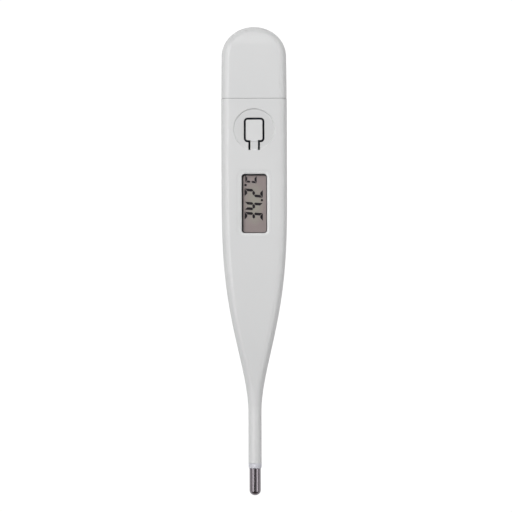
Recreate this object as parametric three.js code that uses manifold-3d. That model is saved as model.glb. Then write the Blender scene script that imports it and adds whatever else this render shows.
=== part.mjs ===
// A rigid-tip digital clinical thermometer, lying on its flat back.
// Millimetres. +Y runs from the probe to the battery cover, +Z out of the display, and the origin is
// the middle of the footprint, at the height of the back.
import * as THREE from "three";
import { mergeVertices } from "three/addons/utils/BufferGeometryUtils.js";
import Module from "manifold-3d";

const wasm = await Module();
wasm.setup();

// ---------- driving dimensions ----------

const LENGTH = 125;
const THICKNESS = 10;
const HALF_LENGTH = LENGTH / 2;
const MID = THICKNESS / 2;
const WALL = 1.4;
const INNER_TOP = THICKNESS - WALL;
const EDGE_RADIUS = 2.2;

// Half width of the body, in plan.
const BODY_HALF_WIDTH = 8.74;
const COVER_HALF_WIDTH = 8.69;
const NOSE_HALF_WIDTH = 8.58;
const NOSE_DEPTH = 7.9;
const NOSE_START = HALF_LENGTH - NOSE_DEPTH;
const NOSE_TIP_HALF_WIDTH = 0.45;
const DROOP_START = 57.5;
const DROOP_SHARE = 0.14;

// The shoulder narrows the body into the stem: in plan over one length, in thickness over a shorter one.
const STEM_RADIUS = 1.755;
const SHOULDER_START = 20;
const THINNING_START = 6;
const SHOULDER_END = -40.2;
const STEM_END = -53.9;
const BORE_RADIUS = 0.9;

// Steel cap on the stem's end.
const TIP_RADIUS = 1.5;
const TIP_WALL = 0.2;
const TIP_INNER_RADIUS = TIP_RADIUS - TIP_WALL;
const TIP_MOUTH = -55.3;
const TIP_DOME_DEPTH = 1.35;
const SPIGOT_RADIUS = 1.25;
const SPIGOT_END = -57.4;

// Cover joint.
const SEAM = 43.4;
const SEAM_GAP = 0.06;

// Button: a tongue cut out of the floor of a round dish, which slopes up towards the tongue's root.
// The tongue's pad stands a little above the floor, and its neck is level with it.
const DISH_RADIUS = 5.5;
const DISH_CENTRE = 35.2;
const DISH_DEPTH_AT_COVER = 0.46;
const DISH_DEPTH_AT_ROOT = 0.12;
const TONGUE = { halfWidth: 2.22, top: 37.76, shoulder: 32.27, neck: 1.01, root: 29.7, corner: 0.5 };
const PAD_RISE = 0.15;
const SLIT = 0.52;
const ROOT_GAP = 0.1;
const PLUNGER_RADIUS = 1.1;
const PLUNGER_END = 7.75;
const PLUNGER_CENTRE = 35;

// Display window and the stack under it.
const WINDOW = { centre: 15.45, width: 6.72, length: 15.75, corner: 0.8 };
const REBATE = { width: 9.5, length: 18, corner: 1.8, floor: 9.7 };
const LENS_GAP = 0.05;
const LENS_TOP = 9.98;
const LENS_BOTTOM = 8.9;
const GLASS_HALF_WIDTH = 5.2;
const GLASS_LENGTH = 19.4;
const GLASS_THICKNESS = 0.55;
const FILM_THICKNESS = 0.15;
const REAR_GLASS_EDGE = 3.6;
const POLARIZER_TOP = 8.2;

// Board and the frame that carries it.
const BOARD_TOP = 5;
const BOARD_THICKNESS = 0.8;
const BOARD_BOTTOM = BOARD_TOP - BOARD_THICKNESS;
const BOARD_HALF_WIDTH = 6.3;
const BOARD_START = -1;
const BOARD_END = 43;
const CHASSIS_BOTTOM = 2;
const PEG_RADIUS = 0.5;
const PEG_HOLE_RADIUS = 0.65;
const PEG_PLACES = [[-5.5, 27.8], [5.5, 27.8], [-5.5, 41.9], [5.5, 41.9]];

// Button cell in the frame's box, which stands out of the housing into the cover.
const CELL = { x: 0, y: 50.6, radius: 3.95, bottom: 3.4, top: 7 };
const BOX = { start: 43.9, end: 58, halfWidth: 6.6, endHalfWidth: 5.2, bottom: 1.75, top: 8.25 };
const POCKET_RADIUS = 4.15;
const POCKET_FLOOR = 2.6;

// Face-to-face clearance between parts that rest on each other.
const REST_GAP = 0.02;

// Facets.
const CORNER_STEPS = 5;
const SECTION_POINTS = 4 * (CORNER_STEPS + 1);
const ROUND = 24;
const SMALL_ROUND = 12;
const WIRE_SIDES = 8;

// ---------- materials ----------

function plastic(color, roughness) {
  return new THREE.MeshStandardMaterial({ color, roughness, metalness: 0 });
}

function metal(color, roughness) {
  return new THREE.MeshStandardMaterial({ color, roughness, metalness: 1 });
}

function seeThrough(color, roughness, opacity) {
  return new THREE.MeshStandardMaterial({ color, roughness, transparent: true, opacity });
}

const MATERIALS = {
  whiteShell: plastic(0xdedede, 0.35),
  clear: seeThrough(0xf2f4f5, 0.08, 0.3),
  frame: plastic(0xc9ccd0, 0.5),
  board: plastic(0x2c5a3c, 0.45),
  blackEpoxy: plastic(0x141416, 0.4),
  paleEpoxy: plastic(0xcfccd8, 0.25),
  thermistorEpoxy: plastic(0x2a1a14, 0.35),
  rubber: plastic(0x20242e, 0.8),
  foam: plastic(0x1c1a1c, 0.9),
  carbon: plastic(0x101010, 0.7),
  glass: seeThrough(0xb9c2bb, 0.1, 0.4),
  film: plastic(0x96918c, 0.4),
  elastomer: plastic(0xb8a7a0, 0.6),
  ceramic: plastic(0xb9ab93, 0.6),
  nylon: plastic(0xe6e0c8, 0.5),
  redWire: plastic(0xa32a24, 0.5),
  blackWire: plastic(0x1a1a1a, 0.5),
  enamelWire: plastic(0x9a5a2a, 0.35),
  steel: metal(0x9b979c, 0.15),
  nickel: metal(0xb7b4ae, 0.25),
  springSteel: metal(0xc2b58c, 0.3),
  brass: metal(0xb8973f, 0.3),
  solder: metal(0xb9bcc0, 0.35),
};

// ---------- solids and meshes ----------

// A closed geometry as a solid. Corners that fall together are merged and the faces between them dropped.
function solid(geometry) {
  const bare = geometry.clone();
  bare.deleteAttribute("normal");
  bare.deleteAttribute("uv");
  const merged = mergeVertices(bare, 1e-4);
  const index = merged.index.array;
  const kept = [];
  for (let i = 0; i < index.length; i += 3) {
    const [a, b, c] = [index[i], index[i + 1], index[i + 2]];
    if (a !== b && b !== c && c !== a) kept.push(a, b, c);
  }
  return new wasm.Manifold(
    new wasm.Mesh({
      numProp: 3,
      vertProperties: merged.attributes.position.array,
      triVerts: new Uint32Array(kept),
    }),
  );
}

// A solid back as a geometry, with flat facets.
function surface(body) {
  const mesh = body.getMesh();
  const corners = new Float32Array(mesh.numVert * 3);
  for (let i = 0; i < mesh.numVert; i += 1) {
    corners.set(mesh.vertProperties.subarray(i * mesh.numProp, i * mesh.numProp + 3), i * 3);
  }
  const indexed = new THREE.BufferGeometry();
  indexed.setAttribute("position", new THREE.BufferAttribute(corners, 3));
  indexed.setIndex(new THREE.BufferAttribute(mesh.triVerts, 1));
  const geometry = indexed.toNonIndexed();
  geometry.computeVertexNormals();
  return geometry;
}

function joined(first, ...others) {
  return others.reduce((whole, other) => whole.add(other), first);
}

function cut(whole, ...cutters) {
  return cutters.reduce((rest, cutter) => rest.subtract(cutter), whole);
}

const thermometer = new THREE.Group();
thermometer.name = "digital_thermometer";

function addPart(name, body, material) {
  const mesh = new THREE.Mesh(surface(body), material);
  mesh.name = name;
  thermometer.add(mesh);
}

// ---------- basic shapes ----------

// A box between two corners.
function block(low, high) {
  const size = high.map((value, axis) => value - low[axis]);
  const geometry = new THREE.BoxGeometry(...size);
  geometry.translate(...low.map((value, axis) => value + size[axis] / 2));
  return solid(geometry);
}

// An upright outline, drawn in plan, between two heights.
function prism(shape, bottom, top) {
  const geometry = new THREE.ExtrudeGeometry(shape, {
    depth: top - bottom,
    bevelEnabled: false,
    curveSegments: CORNER_STEPS,
  });
  geometry.translate(0, 0, bottom);
  return solid(geometry);
}

// A strip of sheet metal: its side view, drawn in the YZ plane, across a width in X.
function strip(outline, halfWidth, x = 0) {
  const shape = new THREE.Shape(outline.map(([y, z]) => new THREE.Vector2(y, z)));
  const geometry = new THREE.ExtrudeGeometry(shape, { depth: 2 * halfWidth, bevelEnabled: false });
  geometry.translate(0, 0, -halfWidth);
  geometry.applyMatrix4(new THREE.Matrix4().set(0, 0, 1, x, 1, 0, 0, 0, 0, 1, 0, 0, 0, 0, 0, 1));
  return solid(geometry);
}

// An upright round bar.
function disc(x, y, radius, bottom, top, sides = ROUND) {
  const geometry = new THREE.CylinderGeometry(radius, radius, top - bottom, sides);
  geometry.rotateX(Math.PI / 2);
  geometry.translate(x, y, (bottom + top) / 2);
  return solid(geometry);
}

// A profile of [radius, height] turned about an upright axis.
function turnedUpright(x, y, profile, sides = ROUND) {
  const points = profile.map(([radius, height]) => new THREE.Vector2(radius, height));
  const geometry = new THREE.LatheGeometry(points, sides);
  geometry.rotateX(Math.PI / 2);
  geometry.translate(x, y, 0);
  return solid(geometry);
}

// A profile of [radius, y] turned about the probe's own axis.
function turnedOnProbe(profile, sides = ROUND) {
  const points = profile.map(([radius, y]) => new THREE.Vector2(radius, y));
  const geometry = new THREE.LatheGeometry(points, sides);
  geometry.translate(0, 0, MID);
  return solid(geometry);
}

// A quarter of an ellipse as profile points, from the wall to the axis, at the probe's end.
function domeProfile(radius, equator, depth, steps) {
  return Array.from({ length: steps + 1 }, (_, i) => {
    const angle = (Math.PI / 2) * (i / steps);
    return [radius * Math.cos(angle), equator - depth * Math.sin(angle)];
  });
}

// A round wire along a smooth curve through hand-set points.
function wire(points, radius, steps) {
  const section = new THREE.Shape();
  section.absarc(0, 0, radius, 0, 2 * Math.PI);
  const path = new THREE.CatmullRomCurve3(points.map((point) => new THREE.Vector3(...point)));
  const geometry = new THREE.ExtrudeGeometry(section, {
    steps,
    extrudePath: path,
    curveSegments: WIRE_SIDES / 2,
  });
  return solid(geometry);
}

function roundedRectangle(width, length, radius, centreY) {
  const x = width / 2 - radius;
  const y = length / 2 - radius;
  const shape = new THREE.Shape();
  shape.absarc(x, centreY + y, radius, 0, Math.PI / 2);
  shape.absarc(-x, centreY + y, radius, Math.PI / 2, Math.PI);
  shape.absarc(-x, centreY - y, radius, Math.PI, 1.5 * Math.PI);
  shape.absarc(x, centreY - y, radius, 1.5 * Math.PI, 2 * Math.PI);
  return shape;
}

// ---------- the body's outer form ----------

// 1 on the body and 0 on the stem, level at both ends.
function shoulder(y, start) {
  const t = THREE.MathUtils.clamp((start - y) / (start - SHOULDER_END), 0, 1);
  return (1 - t ** 3) ** 2;
}

function halfWidthAt(y, inset) {
  if (y > NOSE_START) {
    const along = Math.min((y - NOSE_START) / (NOSE_DEPTH - inset), 1);
    return Math.max((NOSE_HALF_WIDTH - inset) * Math.sqrt(1 - along ** 2), NOSE_TIP_HALF_WIDTH);
  }
  if (y > SEAM) {
    const along = (y - SEAM) / (NOSE_START - SEAM);
    return THREE.MathUtils.lerp(COVER_HALF_WIDTH, NOSE_HALF_WIDTH, along ** 2) - inset;
  }
  return THREE.MathUtils.lerp(STEM_RADIUS, BODY_HALF_WIDTH, shoulder(y, SHOULDER_START)) - inset;
}

function halfThicknessAt(y, inset) {
  let half = THREE.MathUtils.lerp(STEM_RADIUS, MID, shoulder(y, THINNING_START)) - inset;
  if (y > DROOP_START) {
    half -= MID * DROOP_SHARE * ((y - DROOP_START) / (HALF_LENGTH - DROOP_START)) ** 2;
  }
  const corner = EDGE_RADIUS - inset;
  const fromEnd = HALF_LENGTH - inset - y;
  if (fromEnd < corner) half -= corner - Math.sqrt(corner ** 2 - (corner - fromEnd) ** 2);
  return half;
}

// The rounded rectangle at a station: half width, half thickness and corner radius.
function section(y, inset, least = 0) {
  const halfWidth = Math.max(halfWidthAt(y, inset), least);
  const halfThickness = Math.max(halfThicknessAt(y, inset), least);
  const corner = Math.min(EDGE_RADIUS - inset, 0.995 * Math.min(halfWidth, halfThickness));
  return { halfWidth, halfThickness, corner };
}

function onSection({ halfWidth, halfThickness, corner }, angle) {
  const place = (Math.round((angle / (2 * Math.PI)) * SECTION_POINTS) + SECTION_POINTS) % SECTION_POINTS;
  const quarter = Math.floor(place / (CORNER_STEPS + 1));
  const turn = (Math.PI / 2) * (quarter + (place % (CORNER_STEPS + 1)) / CORNER_STEPS);
  const side = [1, -1, -1, 1][quarter];
  const face = [1, 1, -1, -1][quarter];
  return {
    x: side * (halfWidth - corner) + corner * Math.cos(turn),
    z: face * (halfThickness - corner) + corner * Math.sin(turn),
  };
}

// A closed tube along Y: a unit cylinder whose rings are moved onto the sections at the stations.
function loft(stations, sectionAt) {
  const along = stations.length - 1;
  const geometry = new THREE.CylinderGeometry(1, 1, 1, SECTION_POINTS, along);
  const position = geometry.getAttribute("position");
  for (let i = 0; i < position.count; i += 1) {
    const y = stations[Math.round((position.getY(i) + 0.5) * along)];
    const onAxis = Math.hypot(position.getX(i), position.getZ(i)) < 0.5;
    const angle = Math.atan2(position.getZ(i), position.getX(i));
    const point = onAxis ? { x: 0, z: 0 } : onSection(sectionAt(y), angle);
    position.setXYZ(i, point.x, y, MID + point.z);
  }
  return solid(geometry);
}

function evenStations(low, high, count) {
  return Array.from({ length: count + 1 }, (_, i) => low + ((high - low) * i) / count);
}

// Stations round the nose, close together where it turns.
function noseStations(inset, count) {
  const depth = NOSE_DEPTH - inset;
  const angles = evenStations(0, Math.PI / 2, count);
  return angles.map((angle) => NOSE_START + depth * Math.sin(angle));
}

// ---------- housing and what is cut in it ----------

function tongueShape(grow, rootY) {
  const half = TONGUE.halfWidth + grow;
  const neck = TONGUE.neck + grow;
  const top = TONGUE.top + grow;
  const foot = TONGUE.shoulder - grow;
  const corner = TONGUE.corner + grow;
  const shape = new THREE.Shape();
  shape.moveTo(-neck, rootY);
  shape.lineTo(neck, rootY);
  shape.lineTo(neck, foot);
  shape.absarc(half - corner, foot + corner, corner, -Math.PI / 2, 0);
  shape.absarc(half - corner, top - corner, corner, 0, Math.PI / 2);
  shape.absarc(-half + corner, top - corner, corner, Math.PI / 2, Math.PI);
  shape.absarc(-half + corner, foot + corner, corner, Math.PI, 1.5 * Math.PI);
  shape.lineTo(-neck, foot);
  shape.closePath();
  return shape;
}

// A round cutter whose floor slopes up towards the tongue's root, or is raised all over by a rise.
function dishCutter(rise = 0) {
  const slope = Math.atan((DISH_DEPTH_AT_COVER - DISH_DEPTH_AT_ROOT) / (2 * DISH_RADIUS));
  const depth = (DISH_DEPTH_AT_COVER + DISH_DEPTH_AT_ROOT) / 2;
  const height = 4;
  const floor = new THREE.BoxGeometry(4 * DISH_RADIUS, 4 * DISH_RADIUS, height);
  floor.translate(0, 0, height / 2);
  floor.rotateX(-slope);
  floor.translate(0, DISH_CENTRE, THICKNESS - depth + rise);
  const bar = disc(0, DISH_CENTRE, DISH_RADIUS, INNER_TOP, THICKNESS + 1, 2 * ROUND);
  return bar.intersect(solid(floor));
}

function bodyForm() {
  const taper = evenStations(SHOULDER_END, THINNING_START, 18);
  const stations = [STEM_END, -46, ...taper, 11, 15.5, SHOULDER_START, SEAM];
  return loft(stations, (y) => section(y, 0));
}

function bodyHollow() {
  const taper = evenStations(-34, THINNING_START, 12);
  const stations = [SPIGOT_END - 1, -38, ...taper, 12, SHOULDER_START, SEAM + 1];
  return loft(stations, (y) => section(Math.min(y, SEAM), WALL, BORE_RADIUS));
}

function spigot() {
  return turnedOnProbe([
    [0, SPIGOT_END],
    [SPIGOT_RADIUS, SPIGOT_END],
    [SPIGOT_RADIUS, STEM_END + 1],
    [0, STEM_END + 1],
  ]);
}

function addHousing() {
  const window = roundedRectangle(WINDOW.width, WINDOW.length, WINDOW.corner, WINDOW.centre);
  const rebate = roundedRectangle(REBATE.width, REBATE.length, REBATE.corner, WINDOW.centre);
  const body = cut(
    joined(bodyForm(), spigot()),
    bodyHollow(),
    prism(window, MID, THICKNESS + 1),
    prism(rebate, REBATE.floor, THICKNESS + 1),
    dishCutter(),
    prism(tongueShape(SLIT, TONGUE.root), MID, THICKNESS + 1),
  );
  addPart("housing", body, MATERIALS.whiteShell);
}

function addPowerButton() {
  const wall = prism(tongueShape(0, TONGUE.root + ROOT_GAP), INNER_TOP, THICKNESS);
  const padLength = TONGUE.top - TONGUE.shoulder;
  const padCentre = (TONGUE.top + TONGUE.shoulder) / 2;
  const padShape = roundedRectangle(2 * TONGUE.halfWidth, padLength, TONGUE.corner, padCentre);
  const pad = cut(prism(padShape, INNER_TOP, THICKNESS), dishCutter(PAD_RISE));
  const plunger = disc(0, PLUNGER_CENTRE, PLUNGER_RADIUS, PLUNGER_END, INNER_TOP + 0.5, SMALL_ROUND);
  addPart("power_button", joined(cut(wall, dishCutter()), pad, plunger), MATERIALS.whiteShell);
}

// An outline of the same form as a hole, smaller by the lens's clearance.
function insideHole(hole) {
  return roundedRectangle(
    hole.width - 2 * LENS_GAP,
    hole.length - 2 * LENS_GAP,
    hole.corner - LENS_GAP,
    WINDOW.centre,
  );
}

// A thin flange lies in the rebate, and a plug fills the opening below it.
function addDisplayLens() {
  const flange = prism(insideHole(REBATE), REBATE.floor + REST_GAP, LENS_TOP);
  const plug = prism(insideHole(WINDOW), LENS_BOTTOM, REBATE.floor + 0.1);
  addPart("display_lens", joined(flange, plug), MATERIALS.clear);
}

function addBatteryCover() {
  const mouth = SEAM + SEAM_GAP;
  const outside = loft([mouth, 49, ...noseStations(0, 12)], (y) => section(y, 0));
  const hollow = loft([SEAM - 1, 49, ...noseStations(WALL, 8)], (y) => section(Math.max(y, SEAM), WALL));
  addPart("battery_cover", cut(outside, hollow), MATERIALS.whiteShell);
}

// ---------- probe ----------

function addSensorTip() {
  const equator = -HALF_LENGTH + TIP_DOME_DEPTH;
  const outside = domeProfile(TIP_RADIUS, equator, TIP_DOME_DEPTH, 6);
  const inside = domeProfile(TIP_INNER_RADIUS, equator, TIP_DOME_DEPTH - TIP_WALL, 6);
  const profile = [...outside.reverse(), [TIP_RADIUS, TIP_MOUTH], [TIP_INNER_RADIUS, TIP_MOUTH], ...inside];
  addPart("sensor_tip", turnedOnProbe(profile), MATERIALS.steel);
}

function addAdhesiveCollar() {
  const top = STEM_END - REST_GAP;
  const foot = TIP_MOUTH + REST_GAP;
  const inner = SPIGOT_RADIUS + 0.05;
  const fillet = [[1.53, foot], [1.68, foot + 0.25], [1.74, foot + 0.6], [1.75, top]];
  const profile = [[inner, foot], ...fillet, [inner, top], [inner, foot]];
  addPart("tip_adhesive_collar", turnedOnProbe(profile), MATERIALS.paleEpoxy);
}

function addTipPotting() {
  const gap = 0.05;
  const radius = TIP_INNER_RADIUS - gap;
  const bead = 0.78;
  const top = SPIGOT_END - 0.2;
  const equator = -HALF_LENGTH + TIP_DOME_DEPTH;
  const floor = -61.6;
  const dome = domeProfile(radius, equator, TIP_DOME_DEPTH - TIP_WALL - gap, 5);
  const profile = [...dome.reverse(), [radius, top], [bead, top], [bead, floor], [0, floor]];
  addPart("tip_potting", turnedOnProbe(profile), MATERIALS.paleEpoxy);
}

function addThermistorBead() {
  const radius = 0.6;
  const profile = [[0, -61.4], [0.4, -61.25], [radius, -60.8], [radius, -59.9], [0.45, -59.3], [0, -59.1]];
  addPart("thermistor_bead", turnedOnProbe(profile, SMALL_ROUND), MATERIALS.thermistorEpoxy);
}

const LEAD_RADIUS = 0.15;
const LEAD_PAD = { x: 1.7, y: -0.35 };

// Each lead runs down the bore to the bead, with a little slack where the shoulder is wide.
function addThermistorLeads() {
  for (const [name, side] of [["thermistor_lead_left", -1], ["thermistor_lead_right", 1]]) {
    const height = BOARD_TOP + LEAD_RADIUS + REST_GAP;
    const points = [
      [side * LEAD_PAD.x, LEAD_PAD.y - 0.02, height],
      [side * LEAD_PAD.x, -2.5, height],
      [side * 2.4, -8, 5.4],
      [side * 0.9, -15, 5.9],
      [side * 1.5, -22, 5.1],
      [side * 0.6, -30, 4.9],
      [side * 0.36, -38, MID],
      [side * 0.36, -52, MID],
      [side * 0.36, -58.9, MID],
    ];
    addPart(name, wire(points, LEAD_RADIUS, 34), MATERIALS.enamelWire);
  }
}

// ---------- display ----------

const GLASS_TOP = POLARIZER_TOP - FILM_THICKNESS;
const GLASS_MIDDLE = GLASS_TOP - GLASS_THICKNESS;
const GLASS_BOTTOM = GLASS_MIDDLE - GLASS_THICKNESS;

// A plate of the display stack, centred on the window in Y.
function plate(left, right, length, bottom, top) {
  const half = length / 2;
  return block([left, WINDOW.centre - half, bottom], [right, WINDOW.centre + half, top]);
}

function addDisplayStack() {
  const margin = 0.6;
  const filmLength = GLASS_LENGTH - 2 * margin;
  const left = -GLASS_HALF_WIDTH;
  const film = [left + margin, GLASS_HALF_WIDTH - margin];
  const gap = REST_GAP;
  addPart(
    "lcd_front_polarizer",
    plate(film[0], film[1], filmLength, GLASS_TOP, POLARIZER_TOP),
    MATERIALS.film,
  );
  addPart(
    "lcd_front_glass",
    plate(left, GLASS_HALF_WIDTH, GLASS_LENGTH, GLASS_MIDDLE, GLASS_TOP - gap),
    MATERIALS.glass,
  );
  addPart(
    "lcd_rear_glass",
    plate(left, REAR_GLASS_EDGE, GLASS_LENGTH, GLASS_BOTTOM, GLASS_MIDDLE - gap),
    MATERIALS.glass,
  );
  const reflectorBottom = GLASS_BOTTOM - FILM_THICKNESS;
  addPart(
    "lcd_reflector",
    plate(left + margin, REAR_GLASS_EDGE - 0.4, filmLength, reflectorBottom, GLASS_BOTTOM - gap),
    MATERIALS.film,
  );
}

// The opening in the foam is a little smaller than the window, and sits towards +X and -Y in it.
function addDisplayGasket() {
  const lap = { wide: 0.42, narrow: 0.18 };
  const width = WINDOW.width - lap.wide - lap.narrow;
  const length = WINDOW.length - lap.wide - lap.narrow;
  const offset = (lap.wide - lap.narrow) / 2;
  const outer = roundedRectangle(2 * GLASS_HALF_WIDTH, GLASS_LENGTH, 0.6, WINDOW.centre);
  const bottom = POLARIZER_TOP + REST_GAP;
  const top = INNER_TOP - REST_GAP;
  const inner = roundedRectangle(width, length, 0.6, WINDOW.centre - offset);
  const opening = prism(inner, bottom - 1, top + 1).translate([offset, 0, 0]);
  addPart("display_gasket", cut(prism(outer, bottom, top), opening), MATERIALS.foam);
}

function addDisplayHolder() {
  const wall = 0.9;
  const room = 0.12;
  const inner = [GLASS_HALF_WIDTH + room, GLASS_LENGTH / 2 + room];
  const bottom = BOARD_TOP + REST_GAP;
  const ring = cut(
    plate(-inner[0] - wall, inner[0] + wall, 2 * (inner[1] + wall), bottom, GLASS_TOP - 0.1),
    plate(-inner[0], inner[0], 2 * inner[1], bottom - 1, GLASS_TOP + 1),
  );
  // A bar across keeps the connector upright, and two sills carry the rear glass.
  const bar = plate(REAR_GLASS_EDGE - 0.55, REAR_GLASS_EDGE, 2 * inner[1] + 0.4, bottom, 6.5);
  const sills = [-1, 1].map((end) => {
    const y = WINDOW.centre + end * (inner[1] - 0.3);
    return block([-inner[0] - 0.2, y - 0.5, bottom], [REAR_GLASS_EDGE, y + 0.5, 6.5]);
  });
  addPart("display_holder", joined(ring, bar, ...sills), MATERIALS.frame);
}

function addZebraConnector() {
  const left = REAR_GLASS_EDGE + 0.15;
  const body = plate(left, left + 1.25, 18, BOARD_TOP + REST_GAP, GLASS_MIDDLE - REST_GAP);
  addPart("zebra_connector", body, MATERIALS.elastomer);
}

// ---------- board ----------

function addCircuitBoard() {
  const board = block(
    [-BOARD_HALF_WIDTH, BOARD_START, BOARD_BOTTOM],
    [BOARD_HALF_WIDTH, BOARD_END, BOARD_TOP],
  );
  const holes = PEG_PLACES.map(([x, y]) =>
    disc(x, y, PEG_HOLE_RADIUS, BOARD_BOTTOM - 1, BOARD_TOP + 1, SMALL_ROUND),
  );
  addPart("circuit_board", cut(board, ...holes), MATERIALS.board);
}

function addChipEncapsulant() {
  const top = BOARD_BOTTOM - REST_GAP;
  const profile = [[0, top - 1.15], [1.8, top - 1.05], [3.2, top - 0.6], [4, top], [0, top]];
  addPart("chip_encapsulant", turnedUpright(0, 14, profile), MATERIALS.blackEpoxy);
}

// Surface-mount parts, each on two metal ends in reality and one block here.
function addSurfaceMounts() {
  const places = [
    ["reference_resistor", -3.6, MATERIALS.blackEpoxy],
    ["timing_resistor", 0, MATERIALS.blackEpoxy],
    ["filter_capacitor", 3.6, MATERIALS.ceramic],
  ];
  for (const [name, x, material] of places) {
    const bottom = BOARD_TOP + REST_GAP;
    addPart(name, block([x - 0.8, 2.6, bottom], [x + 0.8, 3.4, bottom + 0.45]), material);
  }
}

function addLeadSolder() {
  for (const [name, side] of [["lead_solder_left", -1], ["lead_solder_right", 1]]) {
    const bottom = BOARD_TOP + REST_GAP;
    const mound = [[0.7, bottom], [0.55, bottom + 0.25], [0.3, bottom + 0.42]];
    const profile = [[0, bottom], ...mound, [0, bottom + 0.46]];
    const body = turnedUpright(side * LEAD_PAD.x, LEAD_PAD.y + 0.75, profile, SMALL_ROUND);
    addPart(name, body, MATERIALS.solder);
  }
}

// ---------- switch ----------

const PILL_RADIUS = 1.2;
const PILL_BOTTOM = 5.32;
const PILL_TOP = 6;

function addSwitch() {
  const bottom = BOARD_TOP + REST_GAP;
  const skirt = 5.5;
  const flange = prism(roundedRectangle(8.4, 9.6, 1, PLUNGER_CENTRE), bottom, skirt);
  const roof = PILL_TOP + REST_GAP;
  const outside = [[0, bottom], [3, bottom], [2.9, skirt], [1.7, 7.2], [1.6, 7.65], [0, 7.65]];
  const inside = [[0, bottom - 1], [2.3, bottom - 1], [2.3, skirt], [1.3, roof], [0, roof]];
  const dome = turnedUpright(0, PLUNGER_CENTRE, outside);
  const hollow = turnedUpright(0, PLUNGER_CENTRE, inside);
  addPart("switch_rubber", cut(joined(flange, dome), hollow), MATERIALS.rubber);
  const pill = disc(0, PLUNGER_CENTRE, PILL_RADIUS, PILL_BOTTOM, PILL_TOP, SMALL_ROUND);
  addPart("switch_contact_pill", pill, MATERIALS.carbon);
}

// ---------- buzzer ----------

function addBuzzer() {
  const floor = WALL + REST_GAP;
  const centre = 30.5;
  addPart("buzzer_brass_disc", disc(0, centre, 5.4, floor, floor + 0.2), MATERIALS.brass);
  addPart("buzzer_ceramic_disc", disc(0, centre, 4, floor + 0.22, floor + 0.4), MATERIALS.ceramic);
  const middle = centre + 3;
  const end = centre + 5.5;
  const red = [[1.2, centre + 0.5, 2.02], [2.6, middle, 2.9], [3.4, end, 3.98]];
  const black = [[-4.6, centre + 0.2, 1.84], [-4.1, middle, 2.9], [-3.4, end, 3.98]];
  addPart("buzzer_lead_red", wire(red, 0.16, 10), MATERIALS.redWire);
  addPart("buzzer_lead_black", wire(black, 0.16, 10), MATERIALS.blackWire);
}

// ---------- frame, contacts and cell ----------

function boxShape() {
  const shape = new THREE.Shape();
  const turn = 50.5;
  const bend = turn + 3;
  const wide = BOX.endHalfWidth + 0.8;
  const flat = BOX.endHalfWidth - 1.6;
  shape.moveTo(-BOX.halfWidth, BOX.start);
  shape.lineTo(BOX.halfWidth, BOX.start);
  shape.lineTo(BOX.halfWidth, turn);
  shape.bezierCurveTo(BOX.halfWidth, bend, wide, BOX.end, flat, BOX.end);
  shape.lineTo(-flat, BOX.end);
  shape.bezierCurveTo(-wide, BOX.end, -BOX.halfWidth, bend, -BOX.halfWidth, turn);
  shape.closePath();
  return shape;
}

// The box that holds the cell, open at the front, with a notch for the contacts and one to prise
// the cell out.
function cellBox() {
  const notchHalf = 2;
  return cut(
    prism(boxShape(), BOX.bottom, BOX.top),
    disc(CELL.x, CELL.y, POCKET_RADIUS, POCKET_FLOOR, BOX.top + 1, 2 * ROUND),
    block([-notchHalf, BOX.start - 1, POCKET_FLOOR], [notchHalf, CELL.y, BOX.top + 1]),
    block([-1.6, CELL.y, 4.6], [1.6, BOX.end + 1, BOX.top + 1]),
  );
}

// Low ribs that rub the inside of the cover and hold it on.
function coverRibs() {
  return [-1, 1].map((side) => {
    const inner = side * (BOX.halfWidth - 0.5);
    const outer = side * (BOX.halfWidth + 0.55);
    return block([Math.min(inner, outer), 45, MID - 0.6], [Math.max(inner, outer), 49, MID + 0.6]);
  });
}

function addInnerChassis() {
  const rib = { inner: 4.9, outer: 6.3 };
  const top = BOARD_BOTTOM - REST_GAP;
  const rails = [-1, 1].map((side) => {
    const edges = [side * rib.inner, side * rib.outer].sort((a, b) => a - b);
    return block([edges[0], 1.5, CHASSIS_BOTTOM], [edges[1], BOX.start + 1, top]);
  });
  const crossBars = [[1.5, 3.5], [21, 22.6], [38.5, 42]].map(([low, high]) =>
    block([-rib.outer, low, CHASSIS_BOTTOM], [rib.outer, high, top - 0.9]),
  );
  const pegs = PEG_PLACES.map(([x, y]) => disc(x, y, PEG_RADIUS, top - 1.5, BOARD_TOP + 0.1, SMALL_ROUND));
  const heads = PEG_PLACES.map(([x, y]) => disc(x, y, 0.8, BOARD_TOP + 0.05, BOARD_TOP + 0.4, SMALL_ROUND));
  addPart(
    "inner_chassis",
    joined(cellBox(), ...coverRibs(), ...rails, ...crossBars, ...pegs, ...heads),
    MATERIALS.frame,
  );
}

// Leaf springs: the lower one bows up under the cell, the upper one presses on the side of its can.
function addContacts() {
  const sheet = 0.2;
  const lowerPath = [[39.8, 3.72], [43.4, 3.72], [44.6, 2.95], [47.5, 2.68], [50.5, 3.12], [53.2, 2.68]];
  const upperPath = [[41.6, 5.04], [44.9, 5.04], [45.95, 5.5], [46.45, 6.2], [46, 7.1]];
  addPart("negative_contact_spring", strip(sheetOutline(lowerPath, sheet), 1.2), MATERIALS.springSteel);
  addPart("positive_contact_spring", strip(sheetOutline(upperPath, sheet), 1.2), MATERIALS.springSteel);
}

// The outline of a bent sheet: the path, and the same path moved by the sheet's thickness.
function sheetOutline(path, sheet) {
  const back = path.map(([y, z], i) => {
    const before = path[Math.max(i - 1, 0)];
    const after = path[Math.min(i + 1, path.length - 1)];
    const along = new THREE.Vector2(after[0] - before[0], after[1] - before[1]).normalize();
    return [y - along.y * sheet, z + along.x * sheet];
  });
  return [...path, ...back.reverse()];
}

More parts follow.
